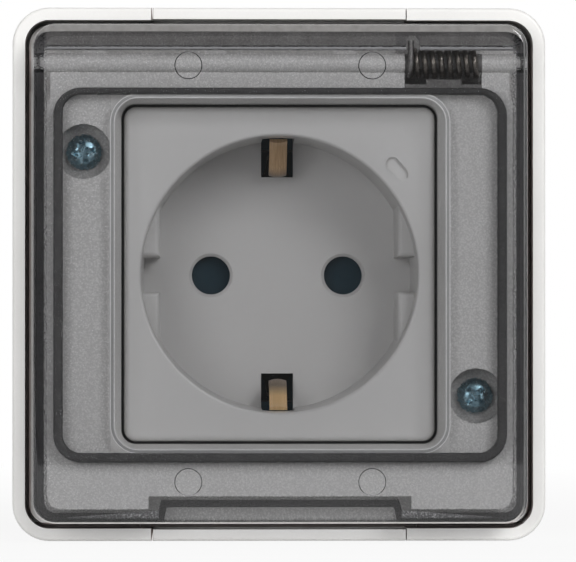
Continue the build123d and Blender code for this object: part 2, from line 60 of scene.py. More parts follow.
# a node with its values: at_Name fills the input of that name, inN the input of that number, the rest the node
def addNode(tree, kind, **values):
    node = tree.nodes.new(kind)
    for name, value in values.items():
        if name.startswith("at_"):
            node.inputs[name[3:].replace("_", " ")].default_value = value
        elif name.startswith("in"):
            node.inputs[int(name[2:])].default_value = value
        else:
            setattr(node, name, value)
    return node


def join(tree, source, target):
    tree.links.new(source, target)


# a plain value is set on the socket, another socket is linked to it
def put(tree, value, target):
    if isinstance(value, (int, float, tuple)):
        target.default_value = value
    else:
        join(tree, value, target)


def newGroup(name, inputs, outputs):
    group = bpy.data.node_groups.new(name, "ShaderNodeTree")
    for label, kind, value in inputs:
        socket = group.interface.new_socket(label, in_out="INPUT", socket_type=kind)
        socket.default_value = value
    for label, kind in outputs:
        group.interface.new_socket(label, in_out="OUTPUT", socket_type=kind)
    return group, group.nodes.new("NodeGroupInput"), group.nodes.new("NodeGroupOutput")


# one step of arithmetic
def calc(tree, operation, first, second=None, clamp=False):
    node = addNode(tree, "ShaderNodeMath", operation=operation, use_clamp=clamp)
    put(tree, first, node.inputs[0])
    if second is not None:
        put(tree, second, node.inputs[1])
    return node.outputs[0]


# the first colour where the mask is 0, the second where it is 1
def blendColour(tree, mask, first, second):
    node = addNode(tree, "ShaderNodeMix", data_type="RGBA")
    for index, value in ((0, mask), (6, first), (7, second)):
        put(tree, value, node.inputs[index])
    return node.outputs[2]


# low to high becomes newLow to newHigh in a straight line, held at both ends
def spread(tree, value, low, high, newLow, newHigh):
    node = addNode(tree, "ShaderNodeMapRange", in1=low, in2=high, in3=newLow, in4=newHigh)
    join(tree, value, node.inputs[0])
    return node.outputs[0]


# a surface point's place on its piece
def objectPlace(tree):
    return addNode(tree, "ShaderNodeTexCoord").outputs["Object"]


def axesOf(tree, place):
    node = addNode(tree, "ShaderNodeSeparateXYZ")
    join(tree, place, node.inputs[0])
    return node.outputs["X"], node.outputs["Y"], node.outputs["Z"]


# cloudy noise round 0.5, with finer layers added to it
def cloud(tree, place, scale, detail, rough=0.5):
    node = addNode(tree, "ShaderNodeTexNoise", at_Detail=detail, at_Roughness=rough)
    join(tree, place, node.inputs["Vector"])
    put(tree, scale, node.inputs["Scale"])
    return node.outputs[0]


# mould grain: fine and coarse noise give a colour that drifts between two shades, a roughness and a height
grainLook = dict(detail=3.0, rough=0.55, speckFrom=0.35, speckTo=0.7, speckShare=0.35,
                 driftScale=70.0, driftDetail=4.0, driftFrom=0.3, driftTo=0.7, driftShare=0.6)


def makeMouldGrain():
    look = grainLook
    group, gin, gout = newGroup(
        "mouldGrain",
        [
            ("Colour", colourKind, (0.8, 0.8, 0.8, 1)),
            ("Shade", colourKind, (0.7, 0.7, 0.7, 1)),
            ("Grain", floatKind, 3000),
            ("Rough", floatKind, 0.4),
            ("Spread", floatKind, 0.1),
        ],
        [("Colour", colourKind), ("Rough", floatKind), ("Height", floatKind)],
    )
    place = objectPlace(group)
    fine = cloud(group, place, gin.outputs["Grain"], look["detail"], look["rough"])
    coarse = cloud(group, place, look["driftScale"], look["driftDetail"])
    drift = spread(group, coarse, look["driftFrom"], look["driftTo"], 0, look["driftShare"])
    speck = spread(group, fine, look["speckFrom"], look["speckTo"], 0, look["speckShare"])
    mask = calc(group, "ADD", drift, speck, True)
    join(group, blendColour(group, mask, gin.outputs["Colour"], gin.outputs["Shade"]), gout.inputs["Colour"])
    wobble = calc(group, "MULTIPLY", calc(group, "SUBTRACT", fine, 0.5), gin.outputs["Spread"])
    join(group, calc(group, "ADD", gin.outputs["Rough"], wobble, True), gout.inputs["Rough"])
    join(group, fine, gout.inputs["Height"])
    return group


# seam dust: what the surface's own hollows hide from the open gives a mask, broken up by noise
dustLook = dict(samples=6, openAt=0.75, shutAt=0.2, scale=420.0, detail=3.0, patchFrom=0.35, patchTo=0.65,
                patchLeast=0.35)


def makeSeamDust():
    look = dustLook
    group, gin, gout = newGroup(
        "seamDust",
        [("Reach", floatKind, 0.003), ("Amount", floatKind, 0.5)],
        [("Mask", floatKind)],
    )
    hollow = addNode(group, "ShaderNodeAmbientOcclusion", samples=look["samples"])
    join(group, gin.outputs["Reach"], hollow.inputs["Distance"])
    shut = spread(group, hollow.outputs["AO"], look["openAt"], look["shutAt"], 0, 1)
    noise = cloud(group, objectPlace(group), look["scale"], look["detail"])
    patch = spread(group, noise, look["patchFrom"], look["patchTo"], look["patchLeast"], 1)
    mask = calc(group, "MULTIPLY", calc(group, "MULTIPLY", shut, patch), gin.outputs["Amount"], True)
    join(group, mask, gout.inputs["Mask"])
    return group


# drawn lines: noise stretched along one way gives a mask and a height like the marks of rolling and turning
linesLook = dict(detail=4.0, rough=0.6, maskFrom=0.3, maskTo=0.7)


def makeDrawnLines():
    look = linesLook
    group, gin, gout = newGroup(
        "drawnLines",
        [("Along", vectorKind, (1, 1, 0.05)), ("Scale", floatKind, 4000)],
        [("Mask", floatKind), ("Height", floatKind)],
    )
    stretch = addNode(group, "ShaderNodeVectorMath", operation="MULTIPLY")
    join(group, objectPlace(group), stretch.inputs[0])
    join(group, gin.outputs["Along"], stretch.inputs[1])
    noise = cloud(group, stretch.outputs[0], gin.outputs["Scale"], look["detail"], look["rough"])
    join(group, spread(group, noise, look["maskFrom"], look["maskTo"], 0, 1), gout.inputs["Mask"])
    join(group, noise, gout.inputs["Height"])
    return group


# places of painted shade: masks by position, in metres, that darken where shade falls
soilLook = dict(
    inner=0.0350, outer=0.03578, front=-0.0361, back=-0.0300, sill=-0.0345,  # joint behind the rim
    seamIn=0.01773, seamOut=0.01803, seamFrom=0.0355, seamBack=-0.0091,  # left seams of the entry inserts
    troughLow=0.0306, troughHigh=0.0327,  # hinge trough
    pocketLeft=0.0174, pocketRight=0.0282, pocketLow=0.0258, pocketHigh=0.0312,  # painted shade in the spring pocket
    pocketFront=-0.0425, pocketFull=-0.0421,
    notchLeft=0.0165, notchRight=0.0200, notchLow=0.0300, notchHigh=0.0340,  # notch above the spring
    wellX=0.0274, wellZ=0.01705, wellR=0.0041, wellFront=-0.0409,  # screw wells
    floorR=0.0197, floorFrom=-0.0340, floorTo=-0.0240,  # floor of the plug well
    patchScale=300.0, patchDetail=3.0, patchFrom=0.3, patchTo=0.7, patchLeast=0.8)


def makePaintedShade():
    look = soilLook
    labels = ("Joint", "Sill", "Seam", "Trough", "Pocket", "Notch", "Well", "Floor")
    group, _, gout = newGroup("soil", [], [(label, floatKind) for label in labels])
    place = objectPlace(group)
    x, y, z = axesOf(group, place)
    wide = calc(group, "ABSOLUTE", x)
    tall = calc(group, "ABSOLUTE", z)
    noise = cloud(group, place, look["patchScale"], look["patchDetail"])
    patch = spread(group, noise, look["patchFrom"], look["patchTo"], look["patchLeast"], 1.0)

    def above(value, limit):
        return calc(group, "GREATER_THAN", value, look[limit])

    def below(value, limit):
        return calc(group, "LESS_THAN", value, look[limit])

    # a product of masks: 1 only where each is 1
    def allOf(first, *others):
        for other in others:
            first = calc(group, "MULTIPLY", first, other)
        return first

    def between(value, low, high):
        return allOf(above(value, low), below(value, high))

    # the root of the sum of two squares
    def distance(first, second):
        return calc(group, "SQRT", calc(group, "ADD", allOf(first, first), allOf(second, second)))

    # joint: painted shade in the slot where the larger of |x| and |z| lies between two distances, behind the
    # rim's front
    reach = calc(group, "MAXIMUM", wide, tall)
    within = below(reach, "outer")
    forward = below(y, "back")
    behind = allOf(above(y, "front"), forward)
    joint = allOf(above(reach, "inner"), within, behind, patch)
    # sill: the lower run of the joint, where the painted shade is darker
    sill = allOf(joint, below(z, "sill"))
    # seam: painted shade in the gap at an insert's left, carried onto the edges along it so the gap reads wider
    beside = calc(group, "MULTIPLY", x, -1.0)
    seam = allOf(between(beside, "seamIn", "seamOut"), above(tall, "seamFrom"), below(y, "seamBack"))
    # trough: painted shade that grows with the height above the hinge, inside the rim
    rise = spread(group, z, look["troughLow"], look["troughHigh"], 0.0, 1.0)
    trough = allOf(rise, within, behind, patch)
    # pocket: painted shade in a box round the spring
    deep = spread(group, y, look["pocketFront"], look["pocketFull"], 0.0, 1.0)
    pocket = allOf(between(x, "pocketLeft", "pocketRight"), between(z, "pocketLow", "pocketHigh"),
                   deep, forward, patch)
    # notch: painted shade in a box behind the opening in the lid's rail
    notch = allOf(between(x, "notchLeft", "notchRight"), between(z, "notchLow", "notchHigh"), behind, patch)
    # well: painted shade within a distance of either screw; mirroring by the sign of x puts both on one spot
    dx = calc(group, "SUBTRACT", wide, look["wellX"])
    dz = calc(group, "ADD", allOf(z, calc(group, "SIGN", x)), look["wellZ"])
    well = allOf(below(distance(dx, dz), "wellR"), above(y, "wellFront"), forward, patch)
    # floor: painted shade that grows with the depth inside the plug well
    sunk = spread(group, y, look["floorFrom"], look["floorTo"], 0.0, 1.0)
    floor = allOf(below(distance(x, z), "floorR"), sunk)
    for label, mask in zip(labels, (joint, sill, seam, trough, pocket, notch, well, floor)):
        join(group, mask, gout.inputs[label])
    return group


mouldGrain = makeMouldGrain()
soil = makePaintedShade()
seamDust = makeSeamDust()
drawnLines = makeDrawnLines()


def useGroup(tree, group, **values):
    node = addNode(tree, "ShaderNodeGroup", node_tree=group)
    for name, value in values.items():
        node.inputs[name].default_value = value
    return node


def newMaterial(name):
    material = bpy.data.materials.new(name)
    material.use_nodes = True
    tree = material.node_tree
    return material, tree, tree.nodes["Principled BSDF"]


def addBump(tree, height, shader, strength, distance):
    bump = addNode(tree, "ShaderNodeBump", at_Strength=strength, at_Distance=distance)
    join(tree, height, bump.inputs["Height"])
    join(tree, bump.outputs[0], shader.inputs["Normal"])


# moulded plastics and rubbers: two shades, a grain, dust in the hollows and a painted shade tone for each
# shaded place
def makeMoulded(name, look):
    material, tree, shader = newMaterial(name)
    grain = useGroup(tree, mouldGrain, Colour=look["colour"], Shade=look["shade"], Grain=look["grain"],
                     Rough=look["rough"], Spread=look["spread"])
    dust = useGroup(tree, seamDust, Reach=look["reach"], Amount=look["dust"])
    colour = blendColour(tree, dust.outputs["Mask"], grain.outputs["Colour"], look["dustColour"])
    if "soil" in look:
        places = useGroup(tree, soil)
        for label, tone in look["soil"].items():
            colour = blendColour(tree, places.outputs[label], colour, tone)
    join(tree, colour, shader.inputs["Base Color"])
    join(tree, grain.outputs["Rough"], shader.inputs["Roughness"])
    shader.inputs["Specular IOR Level"].default_value = look["gloss"]
    addBump(tree, grain.outputs["Height"], shader, look["bump"], look["depth"])
    return material


# metals: two shades drawn out in lines, with tarnish in the hollows
def makeMetal(name, look):
    material, tree, shader = newMaterial(name)
    lines = useGroup(tree, drawnLines, Along=look["along"], Scale=look["scale"])
    dust = useGroup(tree, seamDust, Reach=look["reach"], Amount=look["dust"])
    colour = blendColour(tree, lines.outputs["Mask"], look["colour"], look["shade"])
    colour = blendColour(tree, dust.outputs["Mask"], colour, look["dustColour"])
    join(tree, colour, shader.inputs["Base Color"])
    shader.inputs["Metallic"].default_value = 1.0
    rough = spread(tree, lines.outputs["Mask"], 0, 1, look["rough"], look["rough"] + look["spread"])
    join(tree, rough, shader.inputs["Roughness"])
    addBump(tree, lines.outputs["Height"], shader, look["bump"], look["depth"])
    return material


# white shell: its tones by place are painted shade in the joint, sill, seam, trough, notch, spring pocket and
# screw wells
whiteShell = makeMoulded("whiteShell", dict(
    colour=(0.86, 0.855, 0.84, 1), shade=(0.80, 0.79, 0.77, 1), grain=4200, rough=0.38, spread=0.14,
    reach=0.0018, dust=0.12, dustColour=(0.50, 0.46, 0.42, 1), gloss=0.5, bump=0.12, depth=0.00004,
    soil=dict(Joint=(0.54, 0.45, 0.42, 1), Sill=(0.22, 0.185, 0.175, 1), Seam=(0.20, 0.145, 0.125, 1),
              Trough=(0.27, 0.26, 0.25, 1), Notch=(0.24, 0.235, 0.23, 1), Pocket=(0.10, 0.096, 0.092, 1),
              Well=(0.47, 0.465, 0.455, 1))))
# white rod: its pocket tone is painted shade on the rod under the spring
whiteRod = makeMoulded("whiteRod", dict(
    colour=(0.96, 0.955, 0.94, 1), shade=(0.90, 0.89, 0.87, 1), grain=4200, rough=0.34, spread=0.14,
    reach=0.0018, dust=0.15, dustColour=(0.42, 0.38, 0.34, 1), gloss=0.5, bump=0.12, depth=0.00004,
    soil=dict(Pocket=(0.10, 0.096, 0.092, 1))))
# white face: its floor tone is painted shade on the plug well's floor
whiteFace = makeMoulded("whiteFace", dict(
    colour=(0.775, 0.77, 0.76, 1), shade=(0.725, 0.72, 0.705, 1), grain=5200, rough=0.32, spread=0.12,
    reach=0.0012, dust=0.2, dustColour=(0.45, 0.42, 0.39, 1), gloss=0.5, bump=0.08, depth=0.00003,
    soil=dict(Floor=(0.66, 0.655, 0.645, 1))))
sealRubber = makeMoulded("sealRubber", dict(
    colour=(0.022, 0.022, 0.023, 1), shade=(0.050, 0.050, 0.051, 1), grain=3600, rough=0.62, spread=0.3,
    reach=0.001, dust=0.3, dustColour=(0.10, 0.097, 0.094, 1), gloss=0.35, bump=0.5, depth=0.00008))
basePlastic = makeMoulded("basePlastic", dict(
    colour=(0.010, 0.034, 0.050, 1), shade=(0.006, 0.022, 0.033, 1), grain=2600, rough=0.5, spread=0.2,
    reach=0.002, dust=0.3, dustColour=(0.016, 0.024, 0.028, 1), gloss=0.2, bump=0.25, depth=0.00006))
springSteel = makeMetal("springSteel", dict(
    colour=(0.36, 0.33, 0.30, 1), shade=(0.12, 0.108, 0.096, 1), along=(0.25, 1, 1), scale=2600, rough=0.24,
    spread=0.18, reach=0.0008, dust=0.6, dustColour=(0.07, 0.06, 0.05, 1), bump=0.15, depth=0.00003))
# the leg's wire: a paler, rougher copy of the coil's steel; the paler tone is painted light on the same wire
legSteel = makeMetal("legSteel", dict(
    colour=(0.36, 0.35, 0.34, 1), shade=(0.22, 0.215, 0.21, 1), along=(1, 1, 0.25), scale=2600, rough=0.46,
    spread=0.18, reach=0.0008, dust=0.2, dustColour=(0.2, 0.19, 0.18, 1), bump=0.15, depth=0.00003))
zincScrews = makeMetal("zincScrews", dict(
    colour=(0.46, 0.68, 0.77, 1), shade=(0.17, 0.30, 0.365, 1), along=(1, 0.6, 1), scale=1500, rough=0.18,
    spread=0.20, reach=0.0008, dust=0.5, dustColour=(0.10, 0.135, 0.15, 1), bump=0.2, depth=0.00004))
contactBrass = makeMetal("contactBrass", dict(
    colour=(0.82, 0.60, 0.30, 1), shade=(0.55, 0.36, 0.16, 1), along=(1, 0.04, 0.04), scale=5200, rough=0.26,
    spread=0.25, reach=0.001, dust=0.5, dustColour=(0.16, 0.10, 0.05, 1), bump=0.3, depth=0.00004))

# clip brass, by depth: painted shade makes it near black below the well's floor and darker in the window, and
# it is plain bright brass towards the mouth
clipFinish = dict(
    deep=(0.012, 0.016, 0.017, 1), dull=(0.30, 0.22, 0.155, 1), mouthBrass=(0.84, 0.59, 0.35, 1),
    shade=(0.60, 0.39, 0.21, 1), rubbed=(1.0, 0.71, 0.38, 1), rubbedShade=(0.84, 0.54, 0.26, 1),
    olive=(0.26, 0.215, 0.16, 1), oliveZ=-0.0157, rubbedZ=-0.0172, floorY=-0.0185, dullY=-0.0240, mouthY=-0.0262,
    along=(1, 0.04, 0.04), scale=5200, rough=0.26, spread=0.2, metal=0.45, rubbedMetal=0.15,
    bump=0.3, depth=0.00004)


def makeClipBrass():
    look = clipFinish
    material, tree, shader = newMaterial("clipBrass")
    lines = useGroup(tree, drawnLines, Along=look["along"], Scale=look["scale"])
    mask = lines.outputs["Mask"]
    _, y, z = axesOf(tree, objectPlace(tree))
    # the lower clip, which faces up to the lamps, is darker olive on its crest and painted brighter past it, a
    # painted highlight of the light it faces
    lower = calc(tree, "LESS_THAN", z, 0.0)
    past = spread(tree, z, look["oliveZ"], look["rubbedZ"], 0.0, 1.0)
    mouthBrass = blendColour(tree, mask, look["mouthBrass"], look["shade"])
    rubbed = blendColour(tree, mask, look["rubbed"], look["rubbedShade"])
    bright = blendColour(tree, lower, mouthBrass, blendColour(tree, past, look["olive"], rubbed))
    # painted shade: the brass darkens deeper into the well and goes near black below the well's floor
    nearMouth = spread(tree, y, look["dullY"], look["mouthY"], 0.0, 1.0)
    inWindow = spread(tree, y, look["floorY"], look["dullY"], 0.0, 1.0)
    colour = blendColour(tree, nearMouth, look["dull"], bright)
    join(tree, blendColour(tree, inWindow, look["deep"], colour), shader.inputs["Base Color"])
    metal = spread(tree, calc(tree, "MULTIPLY", past, lower), 0.0, 1.0, look["metal"], look["rubbedMetal"])
    join(tree, metal, shader.inputs["Metallic"])
    rough = spread(tree, mask, 0, 1, look["rough"], look["rough"] + look["spread"])
    join(tree, rough, shader.inputs["Roughness"])
    addBump(tree, lines.outputs["Height"], shader, look["bump"], look["depth"])
    return material


clipBrass = makeClipBrass()

# smoke lid: clear tinted plastic, spark-eroded on its inside around the polished window
lidLook = dict(
    tint=199.0, absorb=(0.0, 0.0, 0.03, 1), passing=(0.96, 0.96, 0.96, 1), ior=1.52,
    colour=(0.99, 0.99, 0.99, 1), shade=(0.70, 0.70, 0.705, 1), shadeFrom=0.45, shadeTo=0.85,
    pebble=3700, smooth=0.4, speck=7500, speckDetail=2.0, speckShare=0.5, bump=1.0, depth=0.000014,
    rough=0.03, roughGrain=2400, roughSpread=0.03, clear=0.012, skinX=0.0338, skinZ=0.0341, skinY=-0.0449,
    windowX=0.0236, windowZ=0.0250, wallX=0.0325, wallGrain=7.0)


# grain height: the distance to the nearest of many scattered points, roughened by a finer noise
def lidGrain(tree, place):
    look = lidLook
    pebbles = addNode(tree, "ShaderNodeTexVoronoi", feature="SMOOTH_F1", at_Scale=look["pebble"],
                      at_Smoothness=look["smooth"])
    join(tree, place, pebbles.inputs["Vector"])
    specks = calc(tree, "MULTIPLY", cloud(tree, place, look["speck"], look["speckDetail"]), look["speckShare"])
    return calc(tree, "ADD", pebbles.outputs["Distance"], specks)


def makeSmokeLid():
    look = lidLook
    material, tree, shader = newMaterial("smokeLid")
    place = objectPlace(tree)
    x, y, z = axesOf(tree, place)
    # textured on all the inner side, which lies within the outer skin, apart from the window
    wide = calc(tree, "ABSOLUTE", x)
    tall = calc(tree, "ABSOLUTE", z)
    inner = calc(tree, "MULTIPLY", calc(tree, "LESS_THAN", wide, look["skinX"]),
                 calc(tree, "LESS_THAN", tall, look["skinZ"]))
    inner = calc(tree, "MULTIPLY", inner, calc(tree, "GREATER_THAN", y, look["skinY"]))
    outside = calc(tree, "MAXIMUM", calc(tree, "GREATER_THAN", wide, look["windowX"]),
                   calc(tree, "GREATER_THAN", tall, look["windowZ"]))
    mask = calc(tree, "MULTIPLY", inner, outside)
    relief = lidGrain(tree, place)
    # the hollows between the pebbles let less light through
    sparkle = calc(tree, "MULTIPLY", spread(tree, relief, look["shadeFrom"], look["shadeTo"], 0.0, 1.0), mask)
    join(tree, blendColour(tree, sparkle, look["colour"], look["shade"]), shader.inputs["Base Color"])
    grain = useGroup(tree, mouldGrain, Grain=look["roughGrain"], Rough=look["rough"],
                     Spread=look["roughSpread"])
    polished = calc(tree, "SUBTRACT", 1.0, mask)
    rough = calc(tree, "MULTIPLY", mask, grain.outputs["Rough"])
    rough = calc(tree, "ADD", rough, calc(tree, "MULTIPLY", polished, look["clear"]))
    join(tree, rough, shader.inputs["Roughness"])
    shader.inputs["Transmission Weight"].default_value = 1.0
    shader.inputs["IOR"].default_value = look["ior"]
    # the skirt's inner walls are eroded more coarsely
    walls = calc(tree, "GREATER_THAN", wide, look["wallX"])
    coarser = calc(tree, "ADD", calc(tree, "MULTIPLY", walls, look["wallGrain"]), 1.0)
    height = calc(tree, "MULTIPLY", calc(tree, "MULTIPLY", relief, mask), coarser)
    addBump(tree, height, shader, look["bump"], look["depth"])
    # lamps and bounced light pass the lid straight, so that what lies behind it is lit
    passing = addNode(tree, "ShaderNodeBsdfTransparent", at_Color=look["passing"])
    rays = addNode(tree, "ShaderNodeLightPath")
    through = calc(tree, "MAXIMUM", rays.outputs["Is Shadow Ray"], rays.outputs["Is Diffuse Ray"])
    mixed = addNode(tree, "ShaderNodeMixShader")
    join(tree, through, mixed.inputs[0])
    join(tree, shader.outputs[0], mixed.inputs[1])
    join(tree, passing.outputs[0], mixed.inputs[2])
    out = tree.nodes["Material Output"]
    join(tree, mixed.outputs[0], out.inputs["Surface"])
    absorb = addNode(tree, "ShaderNodeVolumeAbsorption", at_Color=look["absorb"], at_Density=look["tint"])
    join(tree, absorb.outputs[0], out.inputs["Volume"])
    return material


smokeLid = makeSmokeLid()

finishes = dict(white_shell=whiteShell, white_face=whiteFace, smoke_lid=smokeLid, seal_rubber=sealRubber,
                spring_steel=springSteel, zinc_screws=zincScrews, contact_brass=contactBrass,
                base_plastic=basePlastic)
slotOf = dict(
    surface_box="white_shell", top_entry_insert="white_shell", bottom_entry_insert="white_shell",
    top_grommet="seal_rubber", bottom_grommet="seal_rubber", box_seal="seal_rubber", cover_frame="white_shell",
    cover_screws="zinc_screws", hinge_rod="white_shell", hinge_spring="spring_steel", socket_face="white_face",
    face_seal="seal_rubber", shutter="base_plastic", contact_base="base_plastic", line_contact="contact_brass",
    neutral_contact="contact_brass", line_terminal="contact_brass", neutral_terminal="contact_brass",
    earth_terminal="contact_brass", terminal_screws="zinc_screws", earth_bracket="contact_brass",
    tie_screws="zinc_screws", fixing_screws="zinc_screws", lid="smoke_lid", lid_seal="seal_rubber")
ownFinish = dict(hinge_rod=whiteRod, earth_bracket=clipBrass)
for nodeName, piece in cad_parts.items():
    for slot in piece.material_slots:
        slot.material = ownFinish.get(nodeName, finishes[slotOf[nodeName]])
print("finishes set on", len(slotOf), "nodes")

mergeWithin = 1e-7


# double points are merged, then all faces are turned outwards
def turnOutward(mesh):
    work = bmesh.new()
    work.from_mesh(mesh)
    bmesh.ops.remove_doubles(work, verts=work.verts, dist=mergeWithin)
    bmesh.ops.recalc_face_normals(work, faces=work.faces)
    work.to_mesh(mesh)
    work.free()
    mesh.update()


# a piece from a grid of points, n along and m around: neighbours are joined into quads, and caps close the ends
def gridPiece(name, grid, finish, body, closeAlong=False, caps=False, smoothAngle=40):
    n, m = grid.shape[:2]
    order = np.arange(n * m).reshape(n, m)
    ring = np.concatenate([order, order[:, :1]], axis=1)
    if closeAlong:
        ring = np.concatenate([ring, ring[:1]], axis=0)
    quads = np.stack([ring[:-1, :-1], ring[1:, :-1], ring[1:, 1:], ring[:-1, 1:]], axis=-1).reshape(-1, 4)
    faces = quads.tolist()
    if caps:
        faces += [order[0].tolist(), order[-1][::-1].tolist()]
    mesh = bpy.data.meshes.new(name)
    mesh.from_pydata(grid.reshape(-1, 3).tolist(), [], faces)
    mesh.materials.append(finish)
    mesh.polygons.foreach_set("use_smooth", np.ones(len(mesh.polygons), dtype=bool))
    piece = bpy.data.objects.new(name, mesh)
    bpy.context.scene.collection.objects.link(piece)
    turnOutward(mesh)
    mesh.set_sharp_from_angle(angle=math.radians(smoothAngle))
    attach(piece, body)
    return piece


# evenly spaced angles of a full turn
def fullTurn(count):
    return np.linspace(0, 2 * np.pi, count, endpoint=False)


# a section (across, out) carried along a path: point = path + across * sideways + out * outward
def carried(path, sideways, outward, section):
    across = section[None, :, 0, None] * sideways[:, None, :]
    out = section[None, :, 1, None] * outward[:, None, :]
    return path[:, None, :] + across + out


# a tube: at each point of the path the circle lies in the plane across the path, turned from the X axis
def tubeAlong(path, radius, sides=14):
    along = np.gradient(path, axis=0)
    along /= np.linalg.norm(along, axis=1, keepdims=True)
    outward = np.cross(along, np.array([1.0, 0.0, 0.0]))
    outward /= np.linalg.norm(outward, axis=1, keepdims=True)
    sideways = np.cross(outward, along)
    turn = fullTurn(sides)
    return carried(path, sideways, outward, radius * np.stack([np.cos(turn), np.sin(turn)], axis=1))


# an outline round a rounded rectangle: four quarter circles, with the outward normal at each point
def roundedOutline(width, height, corner, perCorner=14):
    spots = []
    normals = []
    for turn, (cx, cz) in enumerate([(1, 1), (-1, 1), (-1, -1), (1, -1)]):
        angle = np.linspace(turn * np.pi / 2, (turn + 1) * np.pi / 2, perCorner)
        way = np.stack([np.cos(angle), np.sin(angle)], axis=1)
        middle = np.array([cx * (width / 2 - corner), cz * (height / 2 - corner)])
        spots.append(middle + corner * way)
        normals.append(way)
    return np.concatenate(spots), np.concatenate(normals)


# a path round a rounded rectangle at one depth: sideways is its normal, outward points to the back
def ringPath(width, height, corner, depth, centreZ=0.0):
    spots, normals = roundedOutline(width, height, corner)
    level = np.zeros(len(spots))
    path = np.stack([spots[:, 0], level + depth, spots[:, 1] + centreZ], axis=1)
    sideways = np.stack([normals[:, 0], level, normals[:, 1]], axis=1)
    outward = np.tile(np.array([0.0, 1.0, 0.0]), (len(spots), 1))
    return path, sideways, outward


# lid seal: a rubber section with rounded edges, carried round the lid's groove
sealLook = dict(width=63.2, height=52.2, corner=3.9, band=1.35, centreZ=-0.2, front=-43.58, back=-41.12,
                ease=0.02, thinTop=0.30, steps=28, squareness=0.35)


def makeLidSeal():
    look = sealLook
    band = look["band"]
    half = band / 2 - look["ease"]
    halfDepth = (look["back"] - look["front"]) / 2
    middle = (look["back"] + look["front"]) / 2
    path, sideways, outward = ringPath(look["width"] - band, look["height"] - band, look["corner"] - band / 2,
                                       middle, look["centreZ"])
    # squared-off oval: the sine and cosine are raised to a low power
    turn = fullTurn(look["steps"])
    across = np.sign(np.cos(turn)) * np.abs(np.cos(turn)) ** look["squareness"] * half
    deep = np.sign(np.sin(turn)) * np.abs(np.sin(turn)) ** look["squareness"] * halfDepth
    # along the top the section narrows while its outer edge stays where it is
    thin = look["thinTop"] * np.clip(sideways[:, 2:], 0, 1)
    path = path + half * thin * sideways
    grid = carried(path, sideways * (1 - thin), outward, np.stack([across, deep], axis=1)) * mm
    piece = gridPiece("lidSeal", grid, sealRubber, "cover", closeAlong=True, smoothAngle=60)
    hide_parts("lid_seal")


# closing spring: x grows with the turns from a flat first turn, and the end runs on into the pocket
springLook = dict(axisY=-40.6, axisZ=29.43, coil=1.78, wire=0.42, start=18.2, length=9.24, turns=8.25,
                  flat=0.35, back=2.4, up=3.1, lean=0.07, legSwell=1.01,
                  coilSteps=360, legSteps=12, hookSteps=14)


# a point on the coil's circle at an angle, at x
def coilSpot(x, angle):
    look = springLook
    y = look["axisY"] - look["coil"] * np.cos(angle)
    z = look["axisZ"] + look["coil"] * np.sin(angle)
    return np.stack([x, y, z], axis=1)


def makeSpring():
    look = springLook
    # run along x: the square of the turns over the turns and a bit, as a share of the whole
    turns = np.linspace(0, look["turns"], look["coilSteps"])
    run = turns ** 2 / (turns + look["flat"])
    coil = coilSpot(look["start"] + look["length"] * run / run[-1], -2 * np.pi * turns)
    deep = np.linspace(0, look["back"], look["legSteps"])[1:, None]
    tail = coil[-1] + deep * np.array([0.0, 1.0, 0.0])
    body = gridPiece("springCoil", tubeAlong(np.concatenate([coil, tail]), look["wire"]) * mm, springSteel,
                     "housing", caps=True)
    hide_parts("hinge_spring")
    # leg: straight down with a slight lean, then a quarter turn round the rod
    rise = np.linspace(look["up"], 0, look["legSteps"])
    top = np.stack([np.full(len(rise), look["start"]), look["axisY"] - look["coil"] - look["lean"] * rise,
                    look["axisZ"] + rise], axis=1)
    turn = -np.linspace(0, np.pi / 2, look["hookSteps"])[1:]
    hook = coilSpot(np.full(len(turn), look["start"]), turn)
    leg = tubeAlong(np.concatenate([top, hook]), look["wire"] * look["legSwell"])
    gridPiece("springLeg", leg * mm, legSteel, "cover", caps=True)


# cover screws: a domed head whose cross recess is a height taken off it, and a threaded shank behind
screwLook = dict(
    spots=((-27.4, 17.05, 12), (27.4, -17.05, 43)), seat=-37.5, turnSteps=96, ringSteps=44, shankSteps=120,
    head=2.45, inmost=0.02, ringPower=0.9, high=1.8, drop=0.95, domePower=3.2, least=0.25, edge=0.30,
    arm=0.36, armFade=0.10, reach=1.62, reachFade=0.75, deep=1.25,
    pit=0.95, pitFade=0.8, pitEdge=0.9, pitEdgeFade=0.3, pitShare=0.75,
    shank=1.03, shankTop=-0.1, neck=0.1, thread=0.13, pitch=1.1, length=15.8, tip=2.0, tipLeast=0.12)


# a smooth step from 0 to 1: three times the square less twice the cube
def fade(value):
    value = np.clip(value, 0, 1)
    return value * value * (3 - 2 * value)


